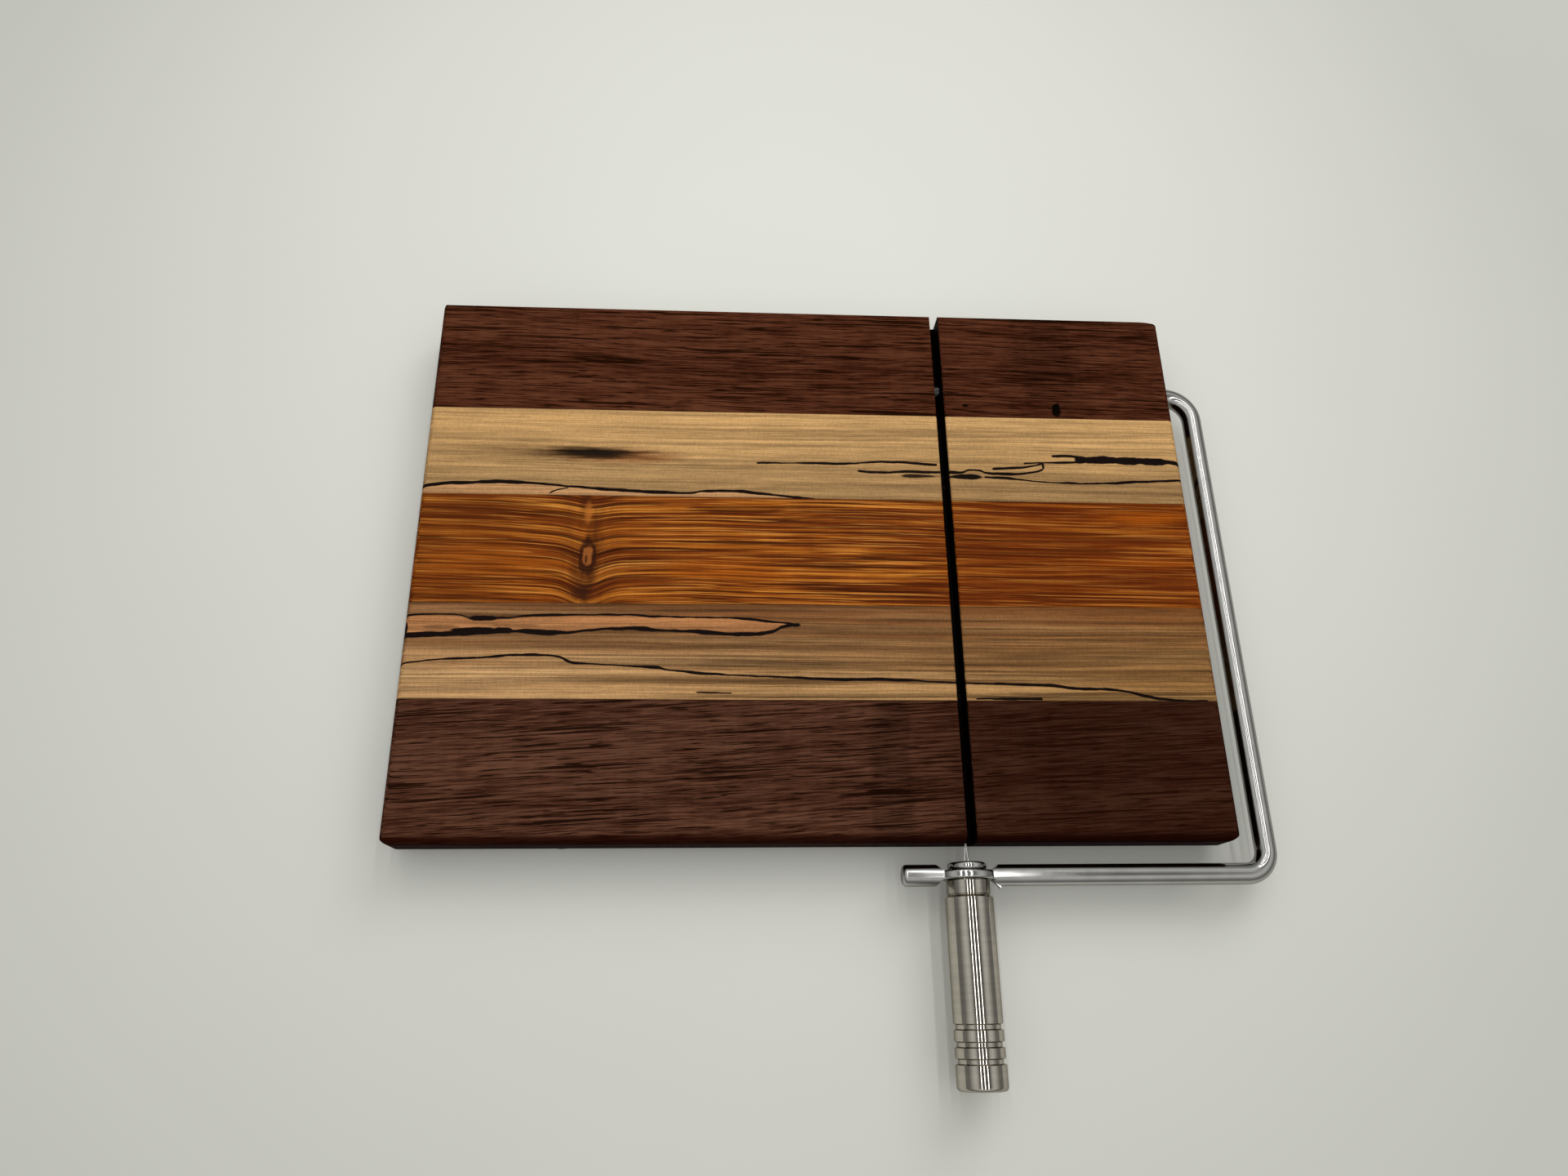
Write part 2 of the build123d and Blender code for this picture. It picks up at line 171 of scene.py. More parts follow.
class Wiring:
    """Makes and links the shader nodes of one material."""

    def __init__(self, name):
        self.material = bpy.data.materials.new(name)
        self.material.use_nodes = True
        self.tree = self.material.node_tree
        self.tree.nodes.clear()

    def node(self, kind, inputs=(), **settings):
        """A new node; its inputs are linked to sockets or set to values."""
        made = self.tree.nodes.new("ShaderNode" + kind)
        for name, value in settings.items():
            setattr(made, name, value)
        for key, value in dict(inputs).items():
            if isinstance(value, bpy.types.NodeSocket):
                self.tree.links.new(value, made.inputs[key])
            else:
                made.inputs[key].default_value = value
        return made

    def math(self, operation, *values, clamp=False):
        """One arithmetic step on numbers."""
        made = self.node("Math", enumerate(values), operation=operation, use_clamp=clamp)
        return made.outputs[0]

    def product(self, first, *others):
        """All the numbers multiplied together."""
        for other in others:
            first = self.math("MULTIPLY", first, other)
        return first

    def most(self, first, *others):
        """The largest of the numbers."""
        for other in others:
            first = self.math("MAXIMUM", first, other)
        return first

    def mix(self, factor, first, second, way="MIX"):
        """Two colours mixed."""
        made = self.node("Mix", {0: factor, 6: first, 7: second}, data_type="RGBA", blend_type=way)
        return made.outputs[2]

    def blend(self, factor, first, second):
        """Two numbers mixed."""
        return self.node("Mix", {0: factor, 2: first, 3: second}, data_type="FLOAT").outputs[0]

    def fit(self, value, low, high, to_low=0.0, to_high=1.0, soft=True):
        """A number's range moved to another range, held at its ends."""
        kind = "SMOOTHSTEP" if soft else "LINEAR"
        inputs = {0: value, 1: low, 2: high, 3: to_low, 4: to_high}
        return self.node("MapRange", inputs, interpolation_type=kind).outputs[0]

    def ramp(self, value, *stops):
        """A colour from a number, between (place, colour) stops."""
        made = self.node("ValToRGB", {0: value})
        band = made.color_ramp.elements
        band[0].position, band[0].color = stops[0]
        band[1].position, band[1].color = stops[-1]
        for place, colour in stops[1:-1]:
            band.new(place).color = colour
        return made.outputs[0]

    def stretch(self, place, scale, shift=(0.0, 0.0, 0.0)):
        """A place scaled along each axis, then moved."""
        inputs = {"Vector": place, "Scale": scale, "Location": shift}
        return self.node("Mapping", inputs, vector_type="POINT").outputs[0]

    def noise(self, place, scale, detail=2.0, roughness=0.5, shift=0.0, distortion=0.0):
        """Fractal noise about 0.5, with its own scale along each axis."""
        moved = self.stretch(place, scale, (shift, shift * 0.7, shift * 1.3))
        inputs = {
            "Vector": moved,
            "Scale": 1.0,
            "Detail": detail,
            "Roughness": roughness,
            "Distortion": distortion,
        }
        return self.node("TexNoise", inputs).outputs[0]

    def split(self, place):
        """X, Y and Z of a place."""
        return self.node("SeparateXYZ", {0: place}).outputs[:3]

    def join(self, x, y, z):
        """A place from X, Y and Z."""
        return self.node("CombineXYZ", {0: x, 1: y, 2: z}).outputs[0]

    def place(self, origin=(0.0, 0.0, 0.0)):
        """The point being shaded, in millimetres from an origin in metres."""
        point = self.node("TexCoord").outputs["Object"]
        return self.stretch(point, (TO_MM,) * 3, tuple(-TO_MM * part for part in origin))

    def curve(self, x, points):
        """Y of a smooth line through (x, y) points, at each X."""
        xs, ys = zip(*points)
        low, high = min(ys) - 0.5, max(ys) + 0.5
        made = self.node("FloatCurve", {"Value": self.fit(x, xs[0], xs[-1], soft=False)})
        knots = made.mapping.curves[0].points
        scaled = [((a - xs[0]) / (xs[-1] - xs[0]), (b - low) / (high - low)) for a, b in points]
        knots[0].location = scaled[0]
        knots[-1].location = scaled[-1]
        for a, b in scaled[1:-1]:
            knots.new(a, b)
        made.mapping.update()
        return self.fit(made.outputs[0], 0.0, 1.0, low, high, soft=False)

    def spot(self, place, x, y, half_x, half_y, ragged=None):
        """Distance from an upright oval post's axis: 1 on its surface."""
        scale, shift = (1 / half_x, 1 / half_y, 0.0), (-x / half_x, -y / half_y, 0.0)
        offset = self.stretch(place, scale, shift)
        distance = self.node("VectorMath", {0: offset}, operation="LENGTH").outputs["Value"]
        return distance if ragged is None else self.math("ADD", distance, ragged)

    def finish(self, surface, bump=None, depth=0.05 * MM, strength=1.0, **settings):
        """The shader and its output; bump is a height from 0 to 1."""
        shader = self.node("BsdfPrincipled", surface)
        for name, value in settings.items():
            shader.inputs[name].default_value = value
        if bump is not None:
            inputs = {"Height": bump, "Distance": depth, "Strength": strength}
            normal = self.node("Bump", inputs).outputs[0]
            self.tree.links.new(normal, shader.inputs["Normal"])
        output = self.node("OutputMaterial")
        self.tree.links.new(shader.outputs[0], output.inputs["Surface"])
        return self.material


# --------------------------------------------------------------------------- wood


def grain(w, place, sway, slant=0.0, shift=0.0):
    """The place with Y and Z bent, so that what runs along X follows the grain."""
    x, y, z = w.split(place)
    bend = w.math("SUBTRACT", w.noise(place, (0.009, 0.03, 0.03), 2.0, shift=shift), 0.5)
    y = w.math("MULTIPLY_ADD", bend, sway, y)
    y = w.math("MULTIPLY_ADD", x, -slant, y)
    z = w.math("MULTIPLY_ADD", bend, sway * 0.6, z)
    return w.join(x, y, z)


def glue_line(w, place, node):
    """1 in the wood, darker in the last tenths of a millimetre beside the strip's joints."""
    low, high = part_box(node)
    middle = board_zero()
    y = w.split(place)[1]
    edges = ((low.y - middle.y) * TO_MM, (high.y - middle.y) * TO_MM)
    near = [w.math("ABSOLUTE", w.math("SUBTRACT", y, edge)) for edge in edges]
    return w.fit(w.math("MINIMUM", *near), 0.05, 0.3, 0.6, 1.0)


def drawn_line(w, place, wander, weight, points, width, dark=1.0):
    """Mask of one dark zone line through given points, thick where weight is high."""
    x, y, z = w.split(place)
    level = w.math("MULTIPLY_ADD", z, 0.25, w.curve(x, points))
    apart = w.math("ABSOLUTE", w.math("ADD", w.math("SUBTRACT", y, level), wander))
    reach = w.math("MULTIPLY", weight, width)
    mask = w.fit(w.math("DIVIDE", apart, reach), 1.2, 0.5)
    start, end = points[0][0], points[-1][0]
    starts = w.fit(x, start - 0.5, start + 0.5)
    ends = w.fit(x, end + 0.5, end - 0.5)
    return w.product(mask, starts, ends, dark)


def board_zero():
    """The woods' zero point on the board's top, in metres."""
    low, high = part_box("orange_strip_middle")
    return Vector((low.x + ZERO_FROM_END * MM, low.y + ZERO_FROM_JOINT * MM, high.z))


def edge_shade_and_end_grain(w, place):
    """1 on the flat top, falling as painted shade over the rounded front and end edges, to the end
    faces, darkened by their end grain and by painted shade.
    """
    x, y, _ = w.split(place)
    # Painted shade: the rounded front and end edges are darkened where they turn away from the
    # light.
    front = w.fit(y, FRONT_EDGE, FRONT_EDGE + 2.9, 0.75, 1.0)
    left = w.fit(x, LEFT_EDGE, LEFT_EDGE + 1.9, 0.7, 1.0)
    right = w.fit(x, RIGHT_EDGE, RIGHT_EDGE - 1.9, 0.7, 1.0)
    left_end = w.fit(x, LEFT_EDGE, LEFT_EDGE + 0.3, END_GRAIN_AND_SHADE, 1.0)
    right_end = w.fit(x, RIGHT_EDGE, RIGHT_EDGE - 0.3, END_GRAIN_AND_SHADE, 1.0)
    return w.product(front, left, right, left_end, right_end)


def in_slot(w, place, top=-0.35):
    """1 on the walls and floor of the saw slot, where the colour is painted near black as shade."""
    x, _, z = w.split(place)
    left = w.fit(x, SLOT_LEFT, SLOT_LEFT + 0.05)
    right = w.fit(x, SLOT_RIGHT, SLOT_RIGHT - 0.05)
    return w.product(left, right, w.fit(z, top + 0.1, top - 0.1))


def joints_and_painted_shade(w, place, node, colour, shade):
    """The shaded colour, with the strip's joints, painted shade over the rounded edges and end
    faces, and the slot painted black as shade.
    """
    shade = w.product(shade, glue_line(w, place, node), edge_shade_and_end_grain(w, place))
    colour = w.node("VectorMath", {0: colour, "Scale": shade}, operation="SCALE").outputs[0]
    # Painted shade: the slot's walls and floor are painted near black, as the deep narrow cut lies
    # in shade.
    return w.mix(in_slot(w, place), colour, linear(12, 7, 5))


def walnut(name, node, tones, slant, shift, extras=None):
    """Dark open-grained walnut: pores as short dark strokes between paler fibres."""
    deep, dark, middle, light = tones
    w = Wiring(name)
    place = w.place(board_zero())
    lie = grain(w, place, 3.5, slant, shift)
    bands = w.noise(lie, (0.006, 0.12, 0.12), 3.0, 0.55, shift)
    fibres = w.noise(lie, (0.06, 1.6, 1.6), 4.0, 0.65, shift + 3.0)
    strokes = w.noise(lie, (0.085, 2.0, 2.0), 2.0, 0.55, shift + 7.0)
    long_strokes = w.noise(lie, (0.02, 1.0, 1.0), 3.0, 0.55, shift + 17.0)
    pores = w.most(w.fit(strokes, 0.58, 0.63), w.fit(long_strokes, 0.58, 0.625))
    glints = w.fit(strokes, 0.44, 0.39)
    shimmer = w.noise(place, (0.32, 0.04, 0.04), 3.0, 0.6, shift + 11.0)
    level = w.blend(0.35, fibres, bands)
    colour = w.ramp(level, (0.38, dark), (0.49, middle), (0.61, light))
    colour = w.mix(w.product(glints, 0.55), colour, light)
    colour = w.mix(w.product(pores, 0.9), colour, deep)
    shade = w.fit(shimmer, 0.35, 0.65, 0.94, 1.05)
    if extras:
        colour, shade = extras(w, place, colour, shade)
    colour = joints_and_painted_shade(w, place, node, colour, shade)
    rough = w.fit(pores, 0.0, 1.0, 0.46, 0.62)
    height = w.math("SUBTRACT", fibres, w.product(pores, 0.7))
    return w.finish(
        {"Base Color": colour, "Roughness": rough},
        height,
        0.06 * MM,
        0.6,
        **{"Specular IOR Level": WALNUT_SHINE},
    )


def back_knot(w, place, colour, shade):
    """The small black knot and the dusky cloud behind it in the back walnut."""
    ragged = w.math("MULTIPLY_ADD", w.noise(place, (0.5, 0.5, 0.2), 3.0), 1.1, -0.55)
    cloud = w.fit(w.spot(place, 84.0, 74.0, 17.0, 30.0, ragged), 1.2, 0.2)
    shade = w.math("MULTIPLY", shade, w.fit(cloud, 0.0, 1.0, 1.0, 0.72))
    knot = w.fit(w.spot(place, 86.5, 54.5, 1.7, 3.0, ragged), 1.15, 0.75)
    nick = w.fit(w.spot(place, 54.5, 55.5, 1.1, 0.5, ragged), 1.2, 0.7)
    return w.mix(w.most(knot, nick), colour, linear(10, 6, 4)), shade


def front_band(w, place, colour, shade):
    """The front walnut's dusky upright band, darker right end, and rounded front edge painted dark
    reddish as shade.
    """
    x, y, _ = w.split(place)
    wander = w.math("MULTIPLY_ADD", w.noise(place, (0.02, 0.08, 0.05), 2.0, shift=5.0), 9.0, x)
    band = w.product(w.fit(wander, 18.0, 24.0), w.fit(wander, 36.0, 30.0))
    shade = w.math("MULTIPLY", shade, w.fit(band, 0.0, 1.0, 1.0, 0.7))
    right = w.fit(wander, 15.0, 75.0)
    shade = w.math("MULTIPLY", shade, w.fit(right, 0.0, 1.0, 1.0, 0.72))
    colour = w.mix(w.product(right, 0.55), colour, linear(52, 21, 10))
    # Painted shade: the rounded front edge turns from the light, so it is painted dark reddish.
    edge = w.fit(y, FRONT_EDGE + 3.2, FRONT_EDGE + 1.2)
    return w.mix(w.product(edge, 0.85), colour, linear(44, 13, 6)), shade


def maple(name, node, corners, shift, streaky, lines, blobs, under, smudge=None):
    """Spalted maple: fine flecked grain, black zone lines and the stains beside them."""
    w = Wiring(name)
    place = w.place(board_zero())
    low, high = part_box(node)
    middle = board_zero()
    bottom, top = (low.y - middle.y) * TO_MM, (high.y - middle.y) * TO_MM
    lie = grain(w, place, 2.5, 0.0, shift)
    x, y, _ = w.split(lie)

    # The ground colour goes from corner to corner of the strip, in soft streaks.
    broad = w.noise(lie, (0.006, 0.22, 0.22), 3.0, 0.55, shift)
    drift = w.math("SUBTRACT", broad, 0.5)
    across = w.math("MULTIPLY_ADD", drift, 1.1, w.fit(x, LEFT_EDGE, RIGHT_EDGE, soft=False))
    upward = w.math("MULTIPLY_ADD", drift, 1.6, w.fit(y, bottom, top, soft=False))
    across = w.fit(across, 0.0, 1.0, soft=False)
    upward = w.fit(upward, 0.0, 1.0, soft=False)
    low_left, low_right, top_left, top_right = corners
    colour = w.mix(
        upward,
        w.mix(across, low_left, low_right),
        w.mix(across, top_left, top_right),
    )

    # Dusky streaks, growth lines, fine fibres and flecks.
    dusk = w.fit(w.noise(lie, (0.006, 0.42, 0.42), 5.0, 0.68, shift + 12.0), 0.5, 0.6)
    amount = w.fit(x, -100.0, 20.0, streaky * 0.5, streaky * 1.4)
    colour = w.mix(w.product(dusk, amount), colour, tone(82, 55, 30))
    swing = 0.16 + 0.27 * streaky
    growth = w.noise(lie, (0.006, 0.8, 0.8), 4.0, 0.65, shift + 2.0)
    figure = w.noise(place, (1.5, 0.55, 0.55), 2.0, 0.6, shift + 10.0)
    fibres = w.noise(lie, (0.06, 2.6, 2.6), 3.0, 0.65, shift + 4.0)
    flecks = w.fit(w.noise(lie, (0.5, 4.0, 4.0), 2.0, 0.5, shift + 6.0), 0.6, 0.7)
    curl = w.noise(place, (0.55, 0.06, 0.06), 3.0, 0.6, shift + 8.0)
    shade = w.product(
        w.fit(growth, 0.38, 0.62, 1.0 + swing, 1.0 - swing),
        w.fit(figure, 0.36, 0.64, 0.94, 1.06),
        w.fit(fibres, 0.36, 0.64, 1.16, 0.84),
        w.fit(curl, 0.3, 0.7, 0.98, 1.02),
        w.fit(flecks, 0.0, 1.0, 1.0, 0.8),
    )

    # Wood past a zone line has its own colour.
    wander = w.math("MULTIPLY_ADD", w.noise(place, (0.14, 0.14, 0.1), 3.0, shift=shift), 1.5, -0.75)
    for upper, lower, stain, amount in under:
        above = w.math("SUBTRACT", w.curve(x, upper), y)
        below = w.math("SUBTRACT", y, w.curve(x, lower))
        inside = w.product(w.fit(above, -0.4, 0.6), w.fit(below, -0.4, 0.6))
        inside = w.product(inside, w.fit(x, upper[0][0] - 1.0, upper[0][0] + 1.0))
        inside = w.product(inside, w.fit(x, upper[-1][0] + 3.0, upper[-1][0] - 3.0), amount)
        colour = w.mix(inside, colour, stain)

    if smudge:
        colour, shade = smudge(w, place, colour, shade)
    colour = joints_and_painted_shade(w, place, node, colour, shade)

    # Zone lines and blots, each with a thin brown halo.
    weight = w.fit(w.noise(place, (0.09, 0.09, 0.09), 2.0, shift=shift + 9.0), 0.3, 0.7, 0.55, 1.35)
    small = w.math("MULTIPLY", wander, 0.5)
    marks = [drawn_line(w, place, small, weight, *line) for line in lines]
    ragged = w.math("MULTIPLY", wander, 0.9)
    for *oval, dark in blobs:
        blot = w.fit(w.spot(place, *oval, ragged), 1.15, 0.6)
        marks.append(w.product(blot, dark))
    ink = w.most(*marks)
    colour = w.mix(w.fit(ink, 0.0, 0.5, 0.0, 0.45), colour, linear(92, 58, 34))
    colour = w.mix(w.fit(ink, 0.12, 0.7), colour, linear(20, 11, 8))
    height = w.math("SUBTRACT", fibres, w.product(flecks, 0.4))
    return w.finish(
        {"Base Color": colour, "Roughness": w.fit(fibres, 0.3, 0.7, 0.4, 0.5)},
        height,
        0.04 * MM,
        0.5,
        **{"Specular IOR Level": PALE_WOOD_SHINE},
    )


def spindle_stain(w, place, colour, shade):
    """The spindle-shaped stain of the back maple: grey halo, black core, rusty tail."""
    ragged = w.math("MULTIPLY_ADD", w.noise(place, (0.07, 0.9, 0.3), 4.0, 0.65), 1.4, -0.7)
    halo = w.fit(w.spot(place, -88.0, 34.2, 38.0, 4.2, ragged), 1.4, 0.2)
    tail = w.fit(w.spot(place, -62.0, 33.4, 21.0, 2.8, ragged), 1.3, 0.2)
    body = w.fit(w.spot(place, -75.0, 34.5, 22.0, 2.7, ragged), 1.3, 0.3)
    core = w.fit(w.spot(place, -72.5, 34.5, 13.0, 1.8, ragged), 1.3, 0.45)
    colour = w.mix(w.product(halo, 0.7), colour, tone(122, 92, 58))
    colour = w.mix(w.product(tail, 0.75), colour, tone(122, 66, 30))
    colour = w.mix(w.product(body, 0.85), colour, tone(70, 44, 22))
    colour = w.mix(w.product(core, 0.95), colour, tone(22, 14, 9))
    return colour, shade


def orange_wood(name, node):
    """The middle strip: glowing orange-brown streaks that dip past a tight upright knot."""
    w = Wiring(name)
    place = w.place(board_zero())
    x, y, z = w.split(place)

    # Every streak droops towards the knot's column, most in the strip's lower half.
    knot_x, knot_y = -72.5, -3.0
    off = w.math("SUBTRACT", x, knot_x)
    near = w.math("EXPONENT", w.math("MULTIPLY", w.math("MULTIPLY", off, off), -1 / 40.0))
    wide = w.math("EXPONENT", w.math("MULTIPLY", w.math("MULTIPLY", off, off), -1 / 500.0))
    depth = w.fit(y, -16.0, 14.0, 3.6, 1.4)
    drop = w.math("ADD", w.product(near, depth), w.product(wide, 0.9))
    bent = w.join(x, w.math("ADD", y, drop), z)
    lie = grain(w, bent, 4.0, -0.012, 31.0)

    broad = w.noise(lie, (0.01, 0.2, 0.2), 3.0, 0.55, 2.0)
    streaks = w.noise(lie, (0.012, 0.85, 0.85), 4.0, 0.65, 5.0)
    fine = w.noise(lie, (0.03, 2.4, 2.4), 3.0, 0.6, 8.0)
    hairs = w.fit(w.noise(lie, (0.018, 1.25, 1.25), 2.0, 0.5, 21.0), 0.55, 0.62)
    threads = w.fit(w.noise(lie, (0.022, 1.9, 1.9), 2.0, 0.5, 27.0), 0.56, 0.63)
    curl = w.noise(bent, (0.5, 0.07, 0.07), 3.0, 0.6, 12.0)
    small = w.math("ADD", w.product(fine, 0.32), w.product(broad, 0.18))
    level = w.math("ADD", w.product(streaks, 0.5), small)
    colour = w.ramp(
        level,
        (0.37, tone(62, 20, 2)),
        (0.445, tone(92, 38, 6)),
        (0.51, tone(130, 64, 15)),
        (0.575, tone(172, 99, 27)),
        (0.65, tone(212, 144, 62)),
    )
    colour = w.mix(w.product(threads, 0.6), colour, tone(216, 144, 64))
    colour = w.mix(w.product(hairs, 0.8), colour, tone(50, 17, 1))

    # The column over and under the knot is dusky, with one glowing patch at its top.
    column = w.product(near, w.fit(w.noise(bent, (0.25, 0.06, 0.1), 3.0, shift=4.0), 0.25, 0.65))
    colour = w.mix(w.product(column, 0.8), colour, tone(62, 26, 8))
    patch = w.fit(w.spot(place, -73.0, 12.5, 1.5, 4.5), 1.2, 0.3)
    colour = w.mix(w.product(patch, 0.5), colour, tone(190, 112, 44))
    ragged = w.math("MULTIPLY_ADD", w.noise(place, (0.5, 0.35, 0.2), 3.0), 0.8, -0.4)
    foot = w.fit(w.spot(place, -73.5, -15.0, 3.6, 4.0, ragged), 1.2, 0.2)
    rim = w.spot(place, knot_x, knot_y, 2.3, 5.6, ragged)
    ring = w.product(w.fit(rim, 1.35, 1.0), w.fit(rim, 0.5, 0.8))
    heart = w.fit(rim, 0.8, 0.45)
    dot = w.fit(w.spot(place, knot_x - 0.4, knot_y - 1.0, 0.5, 1.8, ragged), 1.1, 0.5)
    colour = w.mix(w.product(foot, 0.75), colour, tone(44, 20, 10))
    colour = w.mix(w.product(ring, 0.85), colour, tone(48, 20, 8))
    colour = w.mix(w.product(heart, 0.8), colour, tone(150, 86, 40))
    colour = w.mix(w.product(dot, 0.8), colour, tone(50, 24, 12))

    # Darker streaks and a glowing right end, at listed places.
    drift = w.math("MULTIPLY_ADD", w.noise(place, (0.03, 0.25, 0.2), 3.0, shift=6.0), 1.8, -0.9)
    dusk = (
        (10.0, 12.5, 30.0, 3.2, 0.55),
        (98.0, 6.2, 42.0, 1.6, 0.7),
        (100.0, -8.5, 38.0, 3.4, 0.45),
        (-112.0, 11.0, 22.0, 5.5, 0.4),
        (35.0, -15.5, 30.0, 1.4, 0.45),
    )
    for *oval, amount in dusk:
        streak = w.fit(w.spot(lie, *oval, drift), 1.3, 0.2)
        colour = w.mix(w.product(streak, amount), colour, tone(76, 28, 6))
    glow = (
        (112.0, 14.5, 18.0, 3.0, 0.75),
        (-105.0, -6.0, 26.0, 8.0, 0.35),
        (-30.0, -7.0, 26.0, 5.0, 0.35),
        (112.0, -2.0, 20.0, 3.0, 0.4),
    )
    for *oval, amount in glow:
        streak = w.fit(w.spot(lie, *oval, drift), 1.3, 0.2)
        lit = w.product(streak, amount, w.fit(level, 0.36, 0.56))
        colour = w.mix(lit, colour, tone(196, 100, 16))

    colour = w.mix(w.fit(x, 10.0, 75.0, 0.0, 0.42), colour, tone(94, 32, 2))
    colour = w.mix(w.fit(x, -78.0, -110.0, 0.0, 0.34), colour, tone(80, 34, 6))
    colour = joints_and_painted_shade(w, place, node, colour, w.fit(curl, 0.3, 0.7, 0.96, 1.04))
    return w.finish(
        {"Base Color": colour, "Roughness": w.fit(fine, 0.3, 0.7, 0.36, 0.48)},
        fine,
        0.05 * MM,
        0.5,
        **{"Specular IOR Level": PALE_WOOD_SHINE},
    )


# Zone lines of the two maple strips: (points, width, darkness), lengths in millimetres.
BACK_JOINT_LINE = (
    (-128.5, 20.5), (-124, 21.9), (-114, 22.7), (-100, 23.2), (-88, 22.6), (-75, 21.6), (-62, 20.8),
    (-48, 20.2), (-40, 20.1), (-36, 20.9), (-26, 21.1), (-19, 20.6), (-11, 19.7), (1, 18.6),
)
BACK_LINES = (
    (BACK_JOINT_LINE, 0.62, 1.0),
    (((-86, 19.4), (-84, 20.5), (-80, 21.5)), 0.4, 0.7),
    (
        ((-18, 31.7), (-10, 31.9), (13, 32.0), (20, 32.7), (29, 32.9), (34, 32.7), (43, 32.2)),
        0.42,
        0.85,
    ),
    (((16, 29.4), (24, 28.9), (32, 29.3), (44, 29.3)), 0.5, 0.9),
    (
        (
            (47, 29.4), (51, 29.3), (54, 30.3), (57, 30.3),
            (60, 29.4), (70, 29.1), (75, 29.7), (79.5, 31.2),
        ),
        0.55,
        1.0,
    ),
    (((62, 31.0), (68, 31.4), (73, 31.8), (79.5, 33.2)), 0.45, 0.9),
    (((73, 33.3), (85, 33.8), (91, 34.0), (94, 34.8)), 0.42, 0.8),
    (((83, 36.2), (92, 36.0), (94, 35.2)), 0.42, 0.8),
    (
        ((91, 35.2), (94, 34.8), (100, 34.9), (118, 34.6), (124, 34.6), (128.5, 32.6)),
        1.3,
        1.0,
    ),
    (
        ((59, 27.8), (67, 27.4), (79, 26.2), (95, 25.9), (108, 26.6), (120, 27.3), (128.5, 28.0)),
        0.5,
        1.0,
    ),
)
BACK_BLOBS = (
    (79.6, 32.2, 0.5, 1.3, 1.0),
    (37.0, 27.8, 6.5, 0.8, 0.6),
    (53.0, 27.7, 6.5, 1.1, 0.95),
    (100.5, 34.9, 8.0, 1.7, 1.0),
    (110.0, 34.8, 9.0, 1.6, 1.0),
    (118.0, 34.7, 8.0, 1.5, 1.0),
)
FRONT_TOP_LINE = (
    (-128.5, -23.5), (-113, -23.1), (-107, -24.0), (-98, -24.1), (-90, -23.3), (-77, -23.0),
    (-56, -22.8), (-51, -23.3), (-36, -23.4), (-25, -23.6), (-15, -24.6), (-5, -25.6),
)
FRONT_THICK_LINE = (
    (-128.5, -30.1), (-112, -29.4), (-102, -29.1), (-95, -28.5), (-80, -28.9),
    (-70, -27.9), (-62, -27.4), (-55, -27.3), (-50, -27.8), (-34, -28.3),
    (-24, -29.0), (-14, -28.1), (-10, -26.4), (-5, -25.6),
)
FRONT_LONG_LINE = (
    (-128.5, -39.6), (-123, -38.5), (-115, -37.6), (-103, -37.1), (-89, -36.1), (-80, -36.6),
    (-75, -38.7), (-68, -39.1), (-49, -40.0), (-47, -40.6), (-38, -41.6), (-30, -42.2),
    (-15, -42.7), (8, -43.6), (20, -43.5), (44, -44.5), (71, -45.1), (83, -46.2),
    (92, -46.4), (104, -48.4), (111, -49.7), (124, -50.3),
)
FRONT_LINES = (
    (FRONT_TOP_LINE, 0.42, 0.95),
    (FRONT_THICK_LINE, 0.8, 1.0),
    (FRONT_LONG_LINE, 0.48, 0.95),
    (((-37, -47.8), (-26, -48.1)), 0.35, 0.6),
    (((50, -49.7), (71, -49.6)), 0.5, 0.8),
)
FRONT_BLOBS = (
    (-104.0, -24.2, 5.5, 0.95, 1.0),
    (-105.0, -28.4, 9.0, 1.1, 0.75),
    (-97.0, -28.3, 3.5, 1.2, 0.95),
    (-126.8, -28.0, 0.6, 2.4, 0.9),
    (-6.0, -25.8, 1.6, 0.6, 1.0),
    (-117.0, -27.2, 7.0, 0.8, 0.3),
    (-93.0, -26.6, 8.0, 0.7, 0.3),
)


# --------------------------------------------------------------------------- metal and rubber


def polished_steel(name, colour, rough, along=(0.35, 0.35, 0.35), shift=0.0):
    """Bright steel with a little haze and hairline scratches, painted near black as shade inside
    the board.
    """
    w = Wiring(name)
    place = w.place()
    # Painted shade: steel inside the board and across its slot is darkened to near black.
    shade_x = w.fit(w.split(w.place(board_zero()))[0], SHADE_END, SHADE_END - 0.5)
    inside = w.fit(w.split(w.place(board_zero()))[1], SHADE_FRONT, SHADE_FRONT + 0.5)
    painted_shade = w.fit(w.product(shade_x, inside), 0.0, 1.0, 1.0, 0.06)
    haze = w.noise(place, (0.12, 0.12, 0.12), 3.0, 0.6, shift)
    hairs = w.noise(place, along, 3.0, 0.7, shift + 3.0)
    shade = w.product(w.fit(haze, 0.3, 0.7, 0.93, 1.05), painted_shade)
    tint = w.node("VectorMath", {0: colour[:3], "Scale": shade}, operation="SCALE").outputs[0]
    level = w.blend(0.5, haze, hairs)
    surface = {"Base Color": tint, "Roughness": w.fit(level, 0.3, 0.7, rough * 0.92, rough * 1.08)}
    return w.finish(surface, Metallic=1.0, **{"Specular Tint": EDGE_TINT})


